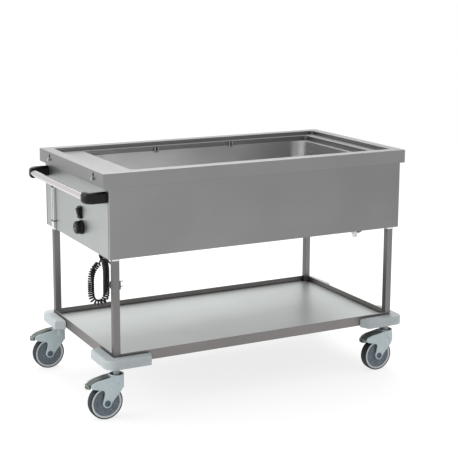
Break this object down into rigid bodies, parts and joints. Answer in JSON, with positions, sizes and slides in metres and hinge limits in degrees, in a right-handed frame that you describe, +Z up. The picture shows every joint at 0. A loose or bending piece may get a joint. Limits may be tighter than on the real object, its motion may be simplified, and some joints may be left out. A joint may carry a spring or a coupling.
{
  "type": "heated serving trolley",
  "caption": "Wheeled stainless steel heated serving trolley: open water well for food pans above a lower shelf, with push handle, end controls, drain valve and curly supply cord.",
  "frame": {"origin": "on the floor, under the middle of the trolley's bounding box without its cord and plug", "axes": "+X along the length, away from the handle and controls; +Y across, away from the side with the plug; +Z up"},
  "size_m": [1.3356, 0.72, 0.89],
  "materials": {
    "polished_steel": "fine ground stainless sheet",
    "satin_steel": "brushed stainless sheet",
    "zinc_steel": "bright zinc plate",
    "chromed_brass": "chromed brass",
    "black_plastic": "moulded black polyamide",
    "white_plastic": "moulded white plastic",
    "mineral_board": "pressed mineral fibre board",
    "cord_rubber": "black rubber cord",
    "grey_bumper": "light grey moulded polyethylene",
    "castor_grey": "blue grey moulded polyamide",
    "pedal_grey": "dark grey moulded polyamide",
    "wheel_grey": "grey moulded wheel with pale ring",
    "tyre_rubber": "dark grey rubber tread"
  },
  "bodies": {
    "root": {"bottom_cover": "satin_steel", "bumper_front_left": "grey_bumper", "bumper_front_right": "grey_bumper", "bumper_rear_left": "grey_bumper", "bumper_rear_right": "grey_bumper", "cable_gland": "black_plastic", "castor_stems": "zinc_steel", "control_panel": "satin_steel", "crossbar_pins": "satin_steel", "drain_pipe": "satin_steel", "drain_valve": "chromed_brass", "end_panel": "satin_steel", "front_panel": "satin_steel", "guide_rail": "polished_steel", "handle_bracket_front": "black_plastic", "handle_bracket_rear": "black_plastic", "handle_screws": "zinc_steel", "handle_tube": "satin_steel", "hanging_studs": "satin_steel", "heating_element": "satin_steel", "insulation_board": "mineral_board", "lower_shelf": "satin_steel", "plug_body": "black_plastic", "plug_holder": "black_plastic", "plug_pins": "chromed_brass", "post_front_left": "satin_steel", "post_front_right": "satin_steel", "post_rear_left": "satin_steel", "post_rear_right": "satin_steel", "rail_clips": "black_plastic", "rear_panel": "satin_steel", "supply_cord": "cord_rubber", "switch_housing": "black_plastic", "terminal_box": "white_plastic", "thermostat": "white_plastic", "top_frame": "polished_steel", "well_basin": "satin_steel"},
    "swivel_front_left": {"castor_fork_front_left": "castor_grey", "castor_axle_front_left": "zinc_steel"},
    "wheel_front_left": {"castor_wheel_front_left": "wheel_grey", "castor_tyre_front_left": "tyre_rubber"},
    "pedal_front_left": {"brake_pedal_front_left": "pedal_grey"},
    "swivel_front_right": {"castor_fork_front_right": "castor_grey", "castor_axle_front_right": "zinc_steel"},
    "wheel_front_right": {"castor_wheel_front_right": "wheel_grey", "castor_tyre_front_right": "tyre_rubber"},
    "pedal_front_right": {"brake_pedal_front_right": "pedal_grey"},
    "swivel_rear_left": {"castor_fork_rear_left": "castor_grey", "castor_axle_rear_left": "zinc_steel"},
    "wheel_rear_left": {"castor_wheel_rear_left": "wheel_grey", "castor_tyre_rear_left": "tyre_rubber"},
    "pedal_rear_left": {"brake_pedal_rear_left": "pedal_grey"},
    "swivel_rear_right": {"castor_fork_rear_right": "castor_grey", "castor_axle_rear_right": "zinc_steel"},
    "wheel_rear_right": {"castor_wheel_rear_right": "wheel_grey", "castor_tyre_rear_right": "tyre_rubber"},
    "pedal_rear_right": {"brake_pedal_rear_right": "pedal_grey"},
    "knob": {"thermostat_knob": "black_plastic"},
    "rocker": {"switch_rocker": "black_plastic"},
    "lever": {"drain_lever": "black_plastic"}
  },
  "joints": [
    {"name": "swivel_front_left", "type": "hinge", "parent": "root", "child": "swivel_front_left", "pos_m": [-0.54975, -0.3075, 0.168], "axis": [0, 0, 1], "continuous": true},
    {"name": "wheel_spin_front_left", "type": "hinge", "parent": "swivel_front_left", "child": "wheel_front_left", "pos_m": [-0.59375, -0.3075, 0.0625], "axis": [0, 1, 0], "continuous": true},
    {"name": "brake_pedal_front_left", "type": "hinge", "parent": "swivel_front_left", "child": "pedal_front_left", "pos_m": [-0.58975, -0.3075, 0.1605], "axis": [0, -1, 0], "range_deg": [0, 10]},
    {"name": "swivel_front_right", "type": "hinge", "parent": "root", "child": "swivel_front_right", "pos_m": [0.61525, -0.3075, 0.168], "axis": [0, 0, 1], "continuous": true},
    {"name": "wheel_spin_front_right", "type": "hinge", "parent": "swivel_front_right", "child": "wheel_front_right", "pos_m": [0.57125, -0.3075, 0.0625], "axis": [0, 1, 0], "continuous": true},
    {"name": "brake_pedal_front_right", "type": "hinge", "parent": "swivel_front_right", "child": "pedal_front_right", "pos_m": [0.57525, -0.3075, 0.1605], "axis": [0, -1, 0], "range_deg": [0, 10]},
    {"name": "swivel_rear_left", "type": "hinge", "parent": "root", "child": "swivel_rear_left", "pos_m": [-0.54975, 0.3075, 0.168], "axis": [0, 0, 1], "continuous": true},
    {"name": "wheel_spin_rear_left", "type": "hinge", "parent": "swivel_rear_left", "child": "wheel_rear_left", "pos_m": [-0.59375, 0.3075, 0.0625], "axis": [0, 1, 0], "continuous": true},
    {"name": "brake_pedal_rear_left", "type": "hinge", "parent": "swivel_rear_left", "child": "pedal_rear_left", "pos_m": [-0.58975, 0.3075, 0.1605], "axis": [0, -1, 0], "range_deg": [0, 10]},
    {"name": "swivel_rear_right", "type": "hinge", "parent": "root", "child": "swivel_rear_right", "pos_m": [0.61525, 0.3075, 0.168], "axis": [0, 0, 1], "continuous": true},
    {"name": "wheel_spin_rear_right", "type": "hinge", "parent": "swivel_rear_right", "child": "wheel_rear_right", "pos_m": [0.57125, 0.3075, 0.0625], "axis": [0, 1, 0], "continuous": true},
    {"name": "brake_pedal_rear_right", "type": "hinge", "parent": "swivel_rear_right", "child": "pedal_rear_right", "pos_m": [0.57525, 0.3075, 0.1605], "axis": [0, -1, 0], "range_deg": [0, 10]},
    {"name": "thermostat_turn", "type": "hinge", "parent": "root", "child": "knob", "pos_m": [-0.57925, -0.062, 0.649], "axis": [-1, 0, 0], "range_deg": [0, 270]},
    {"name": "switch_rock", "type": "hinge", "parent": "root", "child": "rocker", "pos_m": [-0.57525, -0.052, 0.703], "axis": [0, 1, 0], "range_deg": [0, 13]},
    {"name": "drain_turn", "type": "hinge", "parent": "root", "child": "lever", "pos_m": [0.52475, -0.229, 0.56], "axis": [0, 1, 0], "range_deg": [0, 90]}
  ]
}
